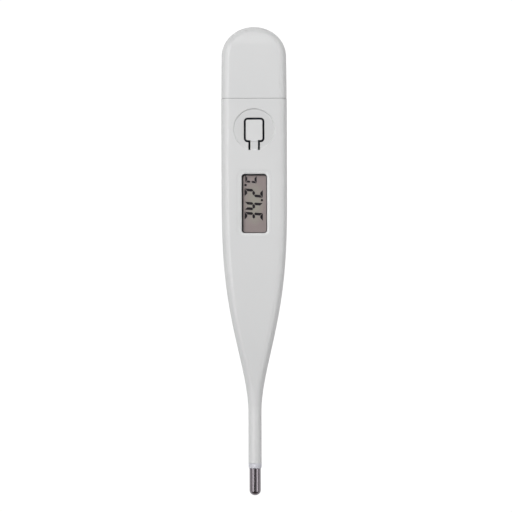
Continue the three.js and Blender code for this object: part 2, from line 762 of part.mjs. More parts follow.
function addCell() {
  const wall = 0.25;
  const { x, y, radius, bottom, top } = CELL;
  const can = [
    [0, top - wall],
    [radius - wall - 0.1, top - wall],
    [radius - wall, top - wall - 0.15],
    [radius - wall, bottom + 0.62],
    [3.2, bottom + 0.52],
    [3.2, bottom + 0.3],
    [radius - 0.25, bottom + 0.3],
    [radius, bottom + 0.55],
    [radius, top - 0.2],
    [radius - 0.2, top],
    [0, top],
  ];
  addPart("battery_can", turnedUpright(x, y, can, 2 * ROUND), MATERIALS.nickel);
  const ring = { inner: 3.05, outer: 3.16, foot: bottom + 0.26, top: bottom + 1.3 };
  const grommet = [
    [ring.inner, ring.foot],
    [ring.outer, ring.foot],
    [ring.outer, ring.top],
    [ring.inner, ring.top],
    [ring.inner, ring.foot],
  ];
  addPart("battery_grommet", turnedUpright(x, y, grommet), MATERIALS.nylon);
  const cap = [
    [0, bottom],
    [2.8, bottom],
    [3, bottom + 0.2],
    [3, bottom + 1.2],
    [2.8, bottom + 1.2],
    [2.8, bottom + 0.2],
    [0, bottom + 0.2],
  ];
  addPart("battery_negative_cap", turnedUpright(x, y, cap), MATERIALS.nickel);
  const ceiling = top - wall - 0.06;
  const core = [
    [0, bottom + 0.24],
    [2.75, bottom + 0.24],
    [2.75, bottom + 1.36],
    [3.55, bottom + 1.36],
    [3.55, ceiling],
    [0, ceiling],
  ];
  addPart("battery_core", turnedUpright(x, y, core), MATERIALS.blackEpoxy);
}

// ---------- assembly ----------

addHousing();
addPowerButton();
addDisplayLens();
addBatteryCover();
addSensorTip();
addAdhesiveCollar();
addTipPotting();
addThermistorBead();
addThermistorLeads();
addDisplayStack();
addDisplayGasket();
addDisplayHolder();
addZebraConnector();
addCircuitBoard();
addChipEncapsulant();
addSurfaceMounts();
addLeadSolder();
addSwitch();
addBuzzer();
addInnerChassis();
addContacts();
addCell();

export default thermometer;
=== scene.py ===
import math

import bmesh
import bpy
from mathutils import Euler, Matrix, Vector


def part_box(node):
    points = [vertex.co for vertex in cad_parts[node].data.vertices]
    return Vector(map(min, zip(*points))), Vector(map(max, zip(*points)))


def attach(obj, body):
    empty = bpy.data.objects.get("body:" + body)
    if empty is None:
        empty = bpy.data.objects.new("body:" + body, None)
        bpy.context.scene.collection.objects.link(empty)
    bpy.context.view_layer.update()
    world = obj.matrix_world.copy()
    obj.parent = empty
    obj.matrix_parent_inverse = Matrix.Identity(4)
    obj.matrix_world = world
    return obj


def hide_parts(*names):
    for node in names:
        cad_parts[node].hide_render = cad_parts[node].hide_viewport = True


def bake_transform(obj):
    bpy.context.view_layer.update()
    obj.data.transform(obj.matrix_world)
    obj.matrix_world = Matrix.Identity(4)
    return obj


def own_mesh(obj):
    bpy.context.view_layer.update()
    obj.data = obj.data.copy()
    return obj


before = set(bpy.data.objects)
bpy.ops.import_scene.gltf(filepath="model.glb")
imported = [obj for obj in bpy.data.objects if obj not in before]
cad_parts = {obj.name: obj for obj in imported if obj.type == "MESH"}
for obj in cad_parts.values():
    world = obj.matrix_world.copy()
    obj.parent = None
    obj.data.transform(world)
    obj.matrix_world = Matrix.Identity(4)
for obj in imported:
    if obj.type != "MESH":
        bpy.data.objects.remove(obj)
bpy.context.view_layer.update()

# The looks of a digital clinical thermometer, in the frame of its CAD model.
# Shapes are worked out in millimetres and scaled to metres when they are done.

MM = 0.001
BODY = "thermometer_body"


def box_mm(node):
    low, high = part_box(node)
    return low / MM, high / MM


# ---------- dimensions, in millimetres ----------

HOUSING_LOW, HOUSING_HIGH = box_mm("housing")
COVER_LOW, COVER_HIGH = box_mm("battery_cover")
BUTTON_LOW, BUTTON_HIGH = box_mm("power_button")
LENS_LOW, LENS_HIGH = box_mm("display_lens")
FILM_LOW, FILM_HIGH = box_mm("lcd_front_polarizer")
GASKET_LOW, GASKET_HIGH = box_mm("display_gasket")
TIP_LOW, TIP_HIGH = box_mm("sensor_tip")
COLLAR_LOW, COLLAR_HIGH = box_mm("tip_adhesive_collar")

THICKNESS = HOUSING_HIGH.z
MID = THICKNESS / 2
WALL = 1.4
INNER_TOP = THICKNESS - WALL
EDGE_RADIUS = 2.2
# The largest share of the half width or half thickness that a corner may take up.
CORNER_SHARE = 0.998

BODY_HALF_WIDTH = HOUSING_HIGH.x
SEAM = HOUSING_HIGH.y
NOSE_END = COVER_HIGH.y
COVER_MOUTH = COVER_LOW.y
COVER_HALF_WIDTH = 8.69
NOSE_HALF_WIDTH = 8.58
NOSE_DEPTH = 7.9
NOSE_START = NOSE_END - NOSE_DEPTH
NOSE_EDGE_RADIUS = 1.6
DROOP_START = 57.5
DROOP = 0.7

STEM_RADIUS = 1.755
COLLAR_GAP = 0.02
STEM_END = COLLAR_HIGH.y + COLLAR_GAP
SPIGOT_END = HOUSING_LOW.y
SPIGOT_RADIUS = 1.25
BORE_RADIUS = 0.9
SHOULDER_START = 20
THINNING_START = 6
SHOULDER_END = -40.2
STRAIGHT_START = -42
HOLLOW_FLARE = -38

# How the ends of the mouldings roll over: distance from the end, and how far the outline draws in.
SEAM_ROLL = [(0, 0.07), (0.01, 0.035), (0.03, 0.01), (0.07, 0)]
STEM_ROLL = [(0, 0.03), (0.02, 0.01), (0.05, 0)]

WINDOW_CENTRE = (LENS_LOW.y + LENS_HIGH.y) / 2
WINDOW_WIDTH = 6.72
WINDOW_LENGTH = 15.75
WINDOW_CORNER = 0.8
LENS_GAP = 0.05
# The gap round the flange is finer than in the CAD, so that no dark line shows.
SEAT_GAP = 0.004
REBATE_WIDTH = LENS_HIGH.x - LENS_LOW.x + 2 * SEAT_GAP
REBATE_LENGTH = LENS_HIGH.y - LENS_LOW.y + 2 * SEAT_GAP
FLANGE_CORNER = 1.75
REBATE_CORNER = FLANGE_CORNER + SEAT_GAP
# The seat of the flange is higher here than in the CAD, and the soft lip is only in the visual.
REBATE_FLOOR = 9.84
LIP_REACH = 1.1
LIP_DEPTH = 0.15

DISH_RADIUS = 5.5
DISH_CENTRE = 35.2
DISH_DEPTH_AT_COVER = 0.46
DISH_DEPTH_AT_ROOT = 0.12
SLIT = 0.52
PAD_RISE = 0.15
PAD_CORNER = 0.8
TONGUE_HALF_WIDTH = BUTTON_HIGH.x
TONGUE_TOP = BUTTON_HIGH.y
TONGUE_SHOULDER = 32.27
TONGUE_NECK = 1.01
SLIT_OVERRUN = 0.1
TONGUE_ROOT = BUTTON_LOW.y - SLIT_OVERRUN
TONGUE_CORNER = 0.5
PLUNGER_CENTRE = 35

# Steps in a rounded corner and in a full turn.
ARC_STEPS = 12
ROUND = 96

MERGE_DISTANCE = 1e-4
# How far the last ring of a rolled rim stands clear of the surface that it meets.
CLEAR = 0.003
SHARP_ANGLE = math.radians(38)
NORMAL_WEIGHT = 80


# ---------- meshes ----------


def new_object(name, points, faces):
    """A mesh object in millimetres, with its faces turned outwards."""
    mesh = bpy.data.meshes.new(name)
    mesh.from_pydata([tuple(point) for point in points], [], faces)
    shape = bmesh.new()
    shape.from_mesh(mesh)
    bmesh.ops.remove_doubles(shape, verts=shape.verts, dist=MERGE_DISTANCE)
    bmesh.ops.dissolve_degenerate(shape, edges=shape.edges, dist=MERGE_DISTANCE / 10)
    bmesh.ops.recalc_face_normals(shape, faces=shape.faces)
    shape.to_mesh(mesh)
    shape.free()
    obj = bpy.data.objects.new(name, mesh)
    bpy.context.scene.collection.objects.link(obj)
    return obj


def skin(name, rings, cap_start=True, cap_end=True):
    """A surface through closed rings of equally many points."""
    count = len(rings[0])
    points = [point for ring in rings for point in ring]
    faces = []
    for ring in range(len(rings) - 1):
        for i in range(count):
            a = ring * count + i
            b = ring * count + (i + 1) % count
            faces.append((a, b, b + count, a + count))
    if cap_start:
        faces.append(tuple(reversed(range(count))))
    if cap_end:
        faces.append(tuple(range((len(rings) - 1) * count, len(rings) * count)))
    return new_object(name, points, faces)


def carve(body, *cutters, operation="DIFFERENCE"):
    """Takes each cutter out of the body, or joins or intersects the two, and removes the cutters."""
    for cutter in cutters:
        modifier = body.modifiers.new("carve", "BOOLEAN")
        modifier.solver = "EXACT"
        modifier.operation = operation
        modifier.object = cutter
    evaluated = body.evaluated_get(bpy.context.evaluated_depsgraph_get())
    mesh = bpy.data.meshes.new_from_object(evaluated)
    body.modifiers.clear()
    body.data = mesh
    for cutter in cutters:
        bpy.data.objects.remove(cutter)
    return body


def duplicate(obj, name):
    copy = bpy.data.objects.new(name, obj.data.copy())
    bpy.context.scene.collection.objects.link(copy)
    return copy


def turned(name, profile, place):
    """A (radius, height) profile turned full circle, its points put in space by place(across, up, height)."""
    angles = [2 * math.pi * i / ROUND for i in range(ROUND)]
    rings = []
    for radius, height in profile:
        rings.append([place(radius * math.cos(a), radius * math.sin(a), height) for a in angles])
    return skin(name, rings, cap_start=profile[0][0] > 0, cap_end=profile[-1][0] > 0)


def lathe_y(name, profile):
    """A profile of (radius, y) turned about the probe's axis."""
    return turned(name, profile, lambda across, up, y: (across, y, MID + up))


def lathe_z(name, profile, centre_y):
    """A profile of (radius, z) turned about an upright axis on the middle line."""
    return turned(name, profile, lambda across, up, z: (across, centre_y + up, z))


def finish_piece(obj, body, node, material):
    """Smooths the shading between sharp edges, scales to metres, and ties the piece to body and node."""
    shape = bmesh.new()
    shape.from_mesh(obj.data)
    bmesh.ops.remove_doubles(shape, verts=shape.verts, dist=MERGE_DISTANCE)
    for face in shape.faces:
        face.smooth = True
    for edge in shape.edges:
        edge.smooth = len(edge.link_faces) == 2 and edge.calc_face_angle(0) < SHARP_ANGLE
    shape.to_mesh(obj.data)
    shape.free()
    obj.data.transform(Matrix.Scale(MM, 4))
    obj.data.materials.clear()
    obj.data.materials.append(material)
    weighted = obj.modifiers.new("weighted_normals", "WEIGHTED_NORMAL")
    weighted.keep_sharp = True
    weighted.weight = NORMAL_WEIGHT
    if node:
        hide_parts(node)
    if body:
        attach(obj, body)
    return obj


# ---------- the body's outer form ----------


def mix(a, b, share):
    return a + (b - a) * share


def shoulder(y, start):
    """1 on the body and 0 on the stem, level at both ends."""
    t = min(max((start - y) / (start - SHOULDER_END), 0), 1)
    return (1 - t**3) ** 2


def half_width_at(y):
    return mix(STEM_RADIUS, BODY_HALF_WIDTH, shoulder(y, SHOULDER_START))


def half_thickness_at(y):
    return mix(STEM_RADIUS, MID, shoulder(y, THINNING_START))


def half_arc(steps):
    """(cosine, sine) from straight down through outwards to straight up."""
    quarter = [math.pi / 2 * i / steps for i in range(steps + 1)]
    below = [(math.cos(a), -math.sin(a)) for a in reversed(quarter)]
    above = [(math.cos(a), math.sin(a)) for a in quarter]
    return below + above


def body_ring(y, inset=0.0, least=0.0):
    """The body's rounded rectangle at a station, moved inwards by inset."""
    half_width = max(half_width_at(y) - inset, least)
    half_thickness = max(half_thickness_at(y) - inset, least)
    corner = min(EDGE_RADIUS - inset, CORNER_SHARE * min(half_width, half_thickness))
    right = []
    for cosine, sine in half_arc(ARC_STEPS):
        x = half_width - corner + corner * cosine
        z = math.copysign(half_thickness - corner, sine) + corner * sine
        right.append((x, z))
    # The lower arc ends, and the upper one starts, level with the corner's centre.
    right[ARC_STEPS] = (half_width, corner - half_thickness)
    right[ARC_STEPS + 1] = (half_width, half_thickness - corner)
    left = [(-x, z) for x, z in reversed(right)]
    return [(x, y, MID + z) for x, z in right + left]


def spread(low, high, count):
    return [mix(low, high, i / count) for i in range(count + 1)]


def body_stations():
    """(y, inset) pairs, with a small roll at the stem's end and at the cover's seam."""
    stem_roll = [(STEM_END + along, inset) for along, inset in STEM_ROLL]
    seam_roll = [(SEAM - along, inset) for along, inset in reversed(SEAM_ROLL)]
    stem = [(y, 0) for y in spread(-50, STRAIGHT_START, 4)]
    taper = [(y, 0) for y in spread(SHOULDER_END, SHOULDER_START, 120)]
    return stem_roll + stem + taper + [(SEAM - 4, 0)] + seam_roll


def outer_body():
    return skin("housing_skin", [body_ring(y, inset) for y, inset in body_stations()])


def body_hollow():
    """The bore and the cavity, running out past the seam."""
    stations = [SPIGOT_END - 1, STRAIGHT_START] + spread(HOLLOW_FLARE, SHOULDER_START, 58)
    rings = [body_ring(y, WALL, BORE_RADIUS) for y in stations]
    rings.append([(x, SEAM + 1, z) for x, _, z in body_ring(SEAM, WALL, BORE_RADIUS)])
    return skin("hollow", rings)


# ---------- cutters ----------


def rounded_rectangle(width, length, radius, centre_y, steps=ARC_STEPS):
    """Outline points, anticlockwise from above."""
    points = []
    for quarter, (sx, sy) in enumerate([(1, 1), (-1, 1), (-1, -1), (1, -1)]):
        for i in range(steps + 1):
            angle = math.pi / 2 * (quarter + i / steps)
            x = sx * (width / 2 - radius) + radius * math.cos(angle)
            y = sy * (length / 2 - radius) + radius * math.sin(angle)
            points.append((x, centre_y + y))
    return points


def outline_of(width, length, corner, centre_y=WINDOW_CENTRE):
    """A rounded rectangle as a function of how far it is moved outwards."""

    def outline(grow):
        return rounded_rectangle(width + 2 * grow, length + 2 * grow, corner + grow, centre_y)

    return outline


def tongue_path(grow, root):
    """The tongue's edge from the right of its root, round the pad, to the left of its root."""
    half = TONGUE_HALF_WIDTH + grow
    neck = TONGUE_NECK + grow
    top = TONGUE_TOP + grow
    foot = TONGUE_SHOULDER - grow
    corner = TONGUE_CORNER + grow
    centres = [(half - corner, foot + corner, -1), (half - corner, top - corner, 0)]
    right = [(neck, root), (neck, foot)]
    for x, y, quarter in centres:
        for i in range(7):
            angle = math.pi / 2 * (quarter + i / 6)
            right.append((x + corner * math.cos(angle), y + corner * math.sin(angle)))
    left = [(-x, y) for x, y in reversed(right)]
    return right + left


def flared_cutter(name, outline_at, bottom, surface_at, flare, steps):
    """A prism whose wall rolls outwards as it meets the surface above it, which rounds the cut's rim.

    outline_at(grow) gives the outline moved outwards, and surface_at(x, y) the surface's height.
    """
    rings = [[(x, y, bottom) for x, y in outline_at(0)]]
    for i in range(steps + 1):
        angle = math.pi / 2 * i / steps
        grow = flare * (1 - math.cos(angle))
        depth = flare * (1 - math.sin(angle)) - (CLEAR if i == steps else 0)
        rings.append([(x, y, surface_at(x, y) - depth) for x, y in outline_at(grow)])
    rings.append([(x, y, THICKNESS + 1) for x, y in outline_at(flare + 0.01)])
    return skin(name, rings)


def front_face(x, y):
    return THICKNESS


def dish_depth(y):
    share = (y - DISH_CENTRE + DISH_RADIUS) / (2 * DISH_RADIUS)
    return mix(DISH_DEPTH_AT_ROOT, DISH_DEPTH_AT_COVER, share)


def dish_floor(x, y):
    return THICKNESS - dish_depth(y)


def is_on_pad(x, y):
    half_slit = SLIT / 2
    along = TONGUE_SHOULDER - half_slit < y < TONGUE_TOP + half_slit
    return along and abs(x) < TONGUE_HALF_WIDTH + half_slit


def floor_or_pad(x, y):
    return dish_floor(x, y) + (PAD_RISE if is_on_pad(x, y) else 0)


# Across the bowl's wall: how far outside the rim, and the share of the full depth.
DISH_PROFILE = [
    (0.26, -0.6),
    (0.2, -0.012),
    (0.1, 0.03),
    (0.03, 0.12),
    (0, 0.3),
    (-0.04, 0.7),
    (-0.1, 0.88),
    (-0.22, 0.97),
    (-0.4, 1),
]


def dish_cutter():
    """A shallow bowl: rolled rim, short steep wall, and a floor that slopes up to the tongue's root."""
    rings = []
    for outward, share in DISH_PROFILE:
        radius = DISH_RADIUS + outward
        ring = []
        for i in range(2 * ROUND):
            angle = math.pi * i / ROUND
            x = radius * math.cos(angle)
            y = DISH_CENTRE + radius * math.sin(angle)
            ring.append((x, y, THICKNESS - share * dish_depth(y)))
        rings.append(ring)
    return carve(skin("dish_cutter", rings), pad_island())


def pad_island():
    """What the bowl leaves standing for the pad, with a rolled upper edge."""
    width = 2 * TONGUE_HALF_WIDTH + SLIT
    length = TONGUE_TOP - TONGUE_SHOULDER + SLIT
    centre = (TONGUE_TOP + TONGUE_SHOULDER) / 2
    rings = []
    for inset, rise in [(-0.05, -2), (-0.05, -0.02), (-0.02, 0.05), (0.03, 0.11), (0.09, PAD_RISE)]:
        outline = rounded_rectangle(width - 2 * inset, length - 2 * inset, PAD_CORNER - inset, centre, 8)
        rings.append([(x, y, dish_floor(x, y) + rise) for x, y in outline])
    return skin("pad_island", rings)


def slit_cutter():
    """The slit round three sides of the tongue, with a rolled edge on both of its sides."""

    def outline(grow):
        outer = tongue_path(SLIT + grow, TONGUE_ROOT - grow)
        inner = tongue_path(-grow, TONGUE_ROOT - grow)
        return outer + list(reversed(inner))

    return flared_cutter("slit_cutter", outline, MID, floor_or_pad, 0.1, 4)


def window_cutter():
    """The opening: its lip falls away in a long soft slope, and then rolls over into the wall."""
    window = outline_of(WINDOW_WIDTH, WINDOW_LENGTH, WINDOW_CORNER)
    lip = [(0, 0.3), (0.01, 0.22), (0.05, 0.17)]
    for reach in spread(0.1, LIP_REACH, 8):
        lip.append((reach, LIP_DEPTH * (1 - reach / LIP_REACH) ** 2 - CLEAR))
    rings = [[(x, y, MID) for x, y in window(0)]]
    for grow, depth in lip:
        rings.append([(x, y, REBATE_FLOOR - depth) for x, y in window(grow)])
    rings.append([(x, y, THICKNESS + 1) for x, y in window(0)])
    return skin("window_cutter", rings)


def rebate_cutter():
    """The seat of the window's flange."""
    rebate = outline_of(REBATE_WIDTH, REBATE_LENGTH, REBATE_CORNER)
    return flared_cutter("rebate_cutter", rebate, REBATE_FLOOR, front_face, 0.006, 3)


# ---------- materials ----------


class Nodes:
    """A material's node tree, with a Principled shader to plug things into."""

    def __init__(self, name):
        self.material = bpy.data.materials.new(name)
        self.material.use_nodes = True
        self.tree = self.material.node_tree
        self.shader = self.tree.nodes["Principled BSDF"]
        self.coordinates = self.add("ShaderNodeTexCoord").outputs["Object"]

    def add(self, kind, **settings):
        node = self.tree.nodes.new(kind)
        for key, value in settings.items():
            setattr(node, key, value)
        return node

    def link(self, output, target):
        self.tree.links.new(output, target)

    def set(self, **values):
        for key, value in values.items():
            self.shader.inputs[key.replace("_", " ")].default_value = value

    def distance_from(self, place, scale=(1, 1, 1)):
        """How far each point is from a place in millimetres, with its directions scaled."""
        offset = self.add("ShaderNodeVectorMath", operation="SUBTRACT")
        self.link(self.coordinates, offset.inputs[0])
        offset.inputs[1].default_value = Vector(place) * MM
        scaled = self.add("ShaderNodeVectorMath", operation="MULTIPLY")
        self.link(offset.outputs["Vector"], scaled.inputs[0])
        scaled.inputs[1].default_value = scale
        distance = self.add("ShaderNodeVectorMath", operation="LENGTH")
        self.link(scaled.outputs["Vector"], distance.inputs[0])
        return distance.outputs["Value"]

    def stretched(self, scale):
        node = self.add("ShaderNodeMapping")
        node.inputs["Scale"].default_value = scale
        self.link(self.coordinates, node.inputs["Vector"])
        return node.outputs["Vector"]

    def noise(self, scale, detail, vector=None):
        node = self.add("ShaderNodeTexNoise")
        node.inputs["Scale"].default_value = scale
        node.inputs["Detail"].default_value = detail
        self.link(vector or self.coordinates, node.inputs["Vector"])
        return node.outputs["Fac"]

    def ramp(self, factor, stops, target):
        """Colours or grey levels by factor: stops are (position, value) pairs."""
        node = self.add("ShaderNodeValToRGB")
        elements = node.color_ramp.elements
        for i, (position, value) in enumerate(stops):
            element = elements[i] if i < 2 else elements.new(position)
            element.position = position
            colour = value if hasattr(value, "__len__") else (value, value, value)
            element.color = (*colour, 1)
        self.link(factor, node.inputs["Fac"])
        self.link(node.outputs["Color"], target)

    def below(self, value, full, none):
        """1 where a length in metres is under the first limit, and 0 past the second, in millimetres."""
        node = self.add("ShaderNodeMapRange")
        node.inputs["From Min"].default_value = full * MM
        node.inputs["From Max"].default_value = none * MM
        node.inputs["To Min"].default_value = 1
        node.inputs["To Max"].default_value = 0
        self.link(value, node.inputs["Value"])
        return node.outputs["Result"]

    def bump(self, height, strength, distance):
        node = self.add("ShaderNodeBump")
        node.inputs["Strength"].default_value = strength
        node.inputs["Distance"].default_value = distance
        self.link(height, node.inputs["Height"])
        self.link(node.outputs["Normal"], self.shader.inputs["Normal"])


def speckled(name, dark, light, roughness, scale=400, metallic=0.0, bump=0.1, **values):
    """A material whose colour and roughness wander a little, with a fine bump."""
    made = Nodes(name)
    made.set(Metallic=metallic, **values)
    cloud = made.noise(scale, 4)
    made.ramp(cloud, [(0.3, dark), (0.7, light)], made.shader.inputs["Base Color"])
    made.ramp(cloud, [(0.25, roughness * 0.85), (0.75, roughness * 1.15)], made.shader.inputs["Roughness"])
    made.bump(made.noise(scale * 12, 2), bump, 0.00002)
    return made.material


RUBBER = speckled("switch_silicone", (0.012, 0.016, 0.032), (0.02, 0.025, 0.046), 0.55, 900)
FOAM = speckled("gasket_foam", (0.012, 0.01, 0.012), (0.035, 0.03, 0.033), 0.9, 2500, bump=0.6)
FRAME_PLASTIC = speckled("frame_plastic", (0.57, 0.59, 0.61), (0.62, 0.63, 0.65), 0.5, 150)


def shell_material():
    """White moulded plastic, with painted shade darkening the floor of the dish."""
    made = Nodes("shell_plastic")
    made.set(IOR=1.5)
    cloud = made.noise(60, 4)
    shade = made.add("ShaderNodeMixRGB", blend_type="MULTIPLY")
    made.ramp(cloud, [(0.3, (0.665, 0.668, 0.67)), (0.7, (0.68, 0.682, 0.682))], shade.inputs["Color1"])
    # Painted shade: where the mask is on, the dish's floor is multiplied by this grey.
    shade.inputs["Color2"].default_value = (0.925, 0.925, 0.925, 1)
    made.link(shade.outputs["Color"], made.shader.inputs["Base Color"])
    made.ramp(cloud, [(0.25, 0.2), (0.75, 0.28)], made.shader.inputs["Roughness"])
    made.bump(made.noise(720, 2), 0.06, 0.00002)

    # Mask of the painted shade: inside the dish's rim and down on its floor.
    from_centre = made.distance_from((0, DISH_CENTRE, THICKNESS))
    inside_rim = made.below(from_centre, DISH_RADIUS - 0.15, DISH_RADIUS)

    # Height above the sloping floor, up to a constant.
    slope = (DISH_DEPTH_AT_COVER - DISH_DEPTH_AT_ROOT) / (2 * DISH_RADIUS)
    height = made.add("ShaderNodeVectorMath", operation="DOT_PRODUCT")
    made.link(made.coordinates, height.inputs[0])
    height.inputs[1].default_value = (0, slope, 1)
    floor = dish_floor(0, 0)
    on_floor = made.below(height.outputs["Value"], floor + 0.04, floor + 0.1)

    painted_shade_mask = made.add("ShaderNodeMath", operation="MULTIPLY")
    made.link(inside_rim, painted_shade_mask.inputs[0])
    made.link(on_floor, painted_shade_mask.inputs[1])
    made.link(painted_shade_mask.outputs["Value"], shade.inputs["Fac"])
    return made.material


def steel_material():
    """Polished steel with faint rings left by turning."""
    made = Nodes("tip_steel")
    made.set(Metallic=1.0, Anisotropic=0.2)
    rings = made.noise(60, 3, vector=made.stretched((6, 600, 6)))
    made.ramp(
        rings,
        [(0.3, (0.34, 0.305, 0.335)), (0.7, (0.38, 0.34, 0.37))],
        made.shader.inputs["Base Color"],
    )
    made.ramp(rings, [(0.3, 0.11), (0.7, 0.14)], made.shader.inputs["Roughness"])
    made.bump(rings, 0.0015, 0.00001)
    return made.material


def display_film_material():
    """The display's pale ground: greenish in the middle, pinker towards the edges, with a fine grain."""
    made = Nodes("display_film")
    made.set(Specular_IOR_Level=0.35)
    from_centre = made.distance_from((0, WINDOW_CENTRE, 0), (260, 110, 0))
    wander = made.add("ShaderNodeMath", operation="MULTIPLY_ADD")
    made.link(made.noise(500, 5), wander.inputs[0])
    wander.inputs[1].default_value = 0.5
    made.link(from_centre, wander.inputs[2])
    made.ramp(
        wander.outputs["Value"],
        [(0.45, (0.292, 0.281, 0.241)), (1.0, (0.268, 0.225, 0.219))],
        made.shader.inputs["Base Color"],
    )
    made.ramp(made.noise(900, 3), [(0.3, 0.42), (0.7, 0.52)], made.shader.inputs["Roughness"])
    made.bump(made.noise(6000, 2), 0.05, 0.00001)
    return made.material


def lens_material():
    """Clear plastic: all but invisible from straight above, with a painted reflection that turns it whiter
    and less clear at a slant.
    """
    made = Nodes("lens_clear")
    made.set(IOR=1.49)
    # Painted reflection: the white base colour shows more as the surface turns away from the view.
    glare = made.add("ShaderNodeLayerWeight")
    glare.inputs["Blend"].default_value = 0.25
    made.ramp(glare.outputs["Facing"], [(0.3, 0.008), (0.95, 0.5)], made.shader.inputs["Alpha"])
    made.ramp(
        made.noise(300, 2),
        [(0.3, (0.85, 0.87, 0.88)), (0.7, (0.9, 0.92, 0.93))],
        made.shader.inputs["Base Color"],
    )
    made.ramp(made.noise(700, 3), [(0.3, 0.04), (0.7, 0.09)], made.shader.inputs["Roughness"])
    return made.material


SHELL = shell_material()
STEEL = steel_material()
LCD_FILM = display_film_material()
LENS = lens_material()
LCD_INK = speckled(
    "display_segment", (0.006, 0.004, 0.006), (0.012, 0.009, 0.012), 0.5, 800, Specular_IOR_Level=0.1
)
ADHESIVE = speckled(
    "adhesive_resin", (0.6, 0.6, 0.645), (0.65, 0.65, 0.69), 0.6, 900, bump=0.1, Specular_IOR_Level=0.3
)
CELL_STEEL = speckled(
    "cell_steel", (0.56, 0.54, 0.5), (0.64, 0.62, 0.58), 0.24, 700, metallic=1.0, bump=0.1
)
SPRING_STEEL = speckled(
    "spring_steel", (0.58, 0.5, 0.3), (0.68, 0.6, 0.38), 0.28, 900, metallic=1.0, bump=0.1
)

# Materials of the CAD nodes that keep their own mesh: nodes, dark, light, roughness, metallic.
INNER_FINISHES = {
    "potting_resin": (["tip_potting"], (0.5, 0.49, 0.56), (0.62, 0.61, 0.68), 0.3, 0),
    "thermistor_resin": (["thermistor_bead"], (0.04, 0.022, 0.015), (0.07, 0.04, 0.025), 0.3, 0),
    "enamelled_copper": (
        ["thermistor_lead_left", "thermistor_lead_right"],
        (0.3, 0.1, 0.03),
        (0.42, 0.16, 0.05),
        0.3,
        0.6,
    ),
    "display_glass": (["lcd_front_glass", "lcd_rear_glass"], (0.5, 0.56, 0.52), (0.56, 0.62, 0.58), 0.08, 0),
    "reflector_film": (["lcd_reflector"], (0.4, 0.4, 0.38), (0.5, 0.5, 0.48), 0.3, 0.5),
    "connector_elastomer": (["zebra_connector"], (0.4, 0.31, 0.28), (0.55, 0.44, 0.4), 0.6, 0),
    "board_resist": (["circuit_board"], (0.015, 0.085, 0.03), (0.03, 0.14, 0.055), 0.35, 0),
    "black_epoxy": (
        ["chip_encapsulant", "reference_resistor", "timing_resistor"],
        (0.008, 0.008, 0.009),
        (0.02, 0.02, 0.022),
        0.35,
        0,
    ),
    "fired_ceramic": (["filter_capacitor"], (0.3, 0.19, 0.11), (0.42, 0.28, 0.17), 0.5, 0),
    "tin_solder": (["lead_solder_left", "lead_solder_right"], (0.5, 0.51, 0.52), (0.66, 0.67, 0.68), 0.25, 1),
    "contact_carbon": (["switch_contact_pill"], (0.008, 0.008, 0.008), (0.02, 0.02, 0.02), 0.7, 0),
    "buzzer_brass": (["buzzer_brass_disc"], (0.5, 0.36, 0.12), (0.65, 0.48, 0.18), 0.3, 1),
    "buzzer_ceramic": (["buzzer_ceramic_disc"], (0.42, 0.4, 0.36), (0.56, 0.54, 0.5), 0.45, 0.3),
    "red_insulation": (["buzzer_lead_red"], (0.34, 0.02, 0.012), (0.48, 0.035, 0.02), 0.4, 0),
    "black_insulation": (["buzzer_lead_black"], (0.008, 0.008, 0.008), (0.02, 0.02, 0.02), 0.4, 0),
    "cell_nylon": (["battery_grommet"], (0.6, 0.54, 0.36), (0.72, 0.66, 0.46), 0.4, 0),
    "cell_powder": (["battery_core"], (0.015, 0.015, 0.016), (0.04, 0.04, 0.042), 0.85, 0),
}

for finish, (nodes, dark, light, roughness, metallic) in INNER_FINISHES.items():
    material = speckled(finish, dark, light, roughness, 500, metallic)
    for node in nodes:
        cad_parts[node].material_slots[0].material = material


# ---------- housing and button ----------


def tongue_region():
    """A prism round the tongue, whose sides run down the middle of the slit."""
    outline = tongue_path(SLIT / 2, TONGUE_ROOT + SLIT_OVERRUN / 2)
    rings = [[(x, y, z) for x, y in outline] for z in (INNER_TOP - 1, THICKNESS + 1)]
    return skin("tongue_region", rings)


def build_housing_and_button():
    spigot = [
        (SPIGOT_RADIUS - 0.12, SPIGOT_END),
        (SPIGOT_RADIUS, SPIGOT_END + 0.15),
        (SPIGOT_RADIUS, STEM_END + 1),
    ]
    shell = carve(outer_body(), lathe_y("spigot", spigot), operation="UNION")
    shell = carve(
        shell, body_hollow(), window_cutter(), rebate_cutter(), dish_cutter(), slit_cutter()
    )
    button = carve(duplicate(shell, "button_tongue"), tongue_region(), operation="INTERSECT")
    shell = carve(shell, tongue_region())
    shell.name = "housing_shell"
    return shell, button


def add_plunger(button):
    """The nib under the pad that presses on the rubber."""
    low = BUTTON_LOW.z
    profile = [
        (0, low),
        (0.8, low),
        (1.0, low + 0.08),
        (1.1, low + 0.3),
        (1.1, INNER_TOP - 0.2),
        (1.3, INNER_TOP + 0.2),
        (0, INNER_TOP + 0.2),
    ]
    return carve(button, lathe_z("plunger", profile, PLUNGER_CENTRE), operation="UNION")


def add_bending_rows(obj, rows):
    """Cuts rows of edges across the piece, so that it can bend between them."""
    shape = bmesh.new()
    shape.from_mesh(obj.data)
    for y in rows:
        everything = list(shape.verts) + list(shape.edges) + list(shape.faces)
        bmesh.ops.bisect_plane(shape, geom=everything, plane_co=(0, y, 0), plane_no=(0, 1, 0))
    shape.to_mesh(obj.data)
    shape.free()


BEND_START = TONGUE_ROOT + 0.05
BEND_END = TONGUE_ROOT + 1.8

housing, button = build_housing_and_button()
button = add_plunger(button)
add_bending_rows(button, spread(BEND_START + 0.15, BEND_END, 8))
finish_piece(housing, BODY, "housing", SHELL)
finish_piece(button, None, "power_button", SHELL)
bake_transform(button)


# ---------- battery cover ----------


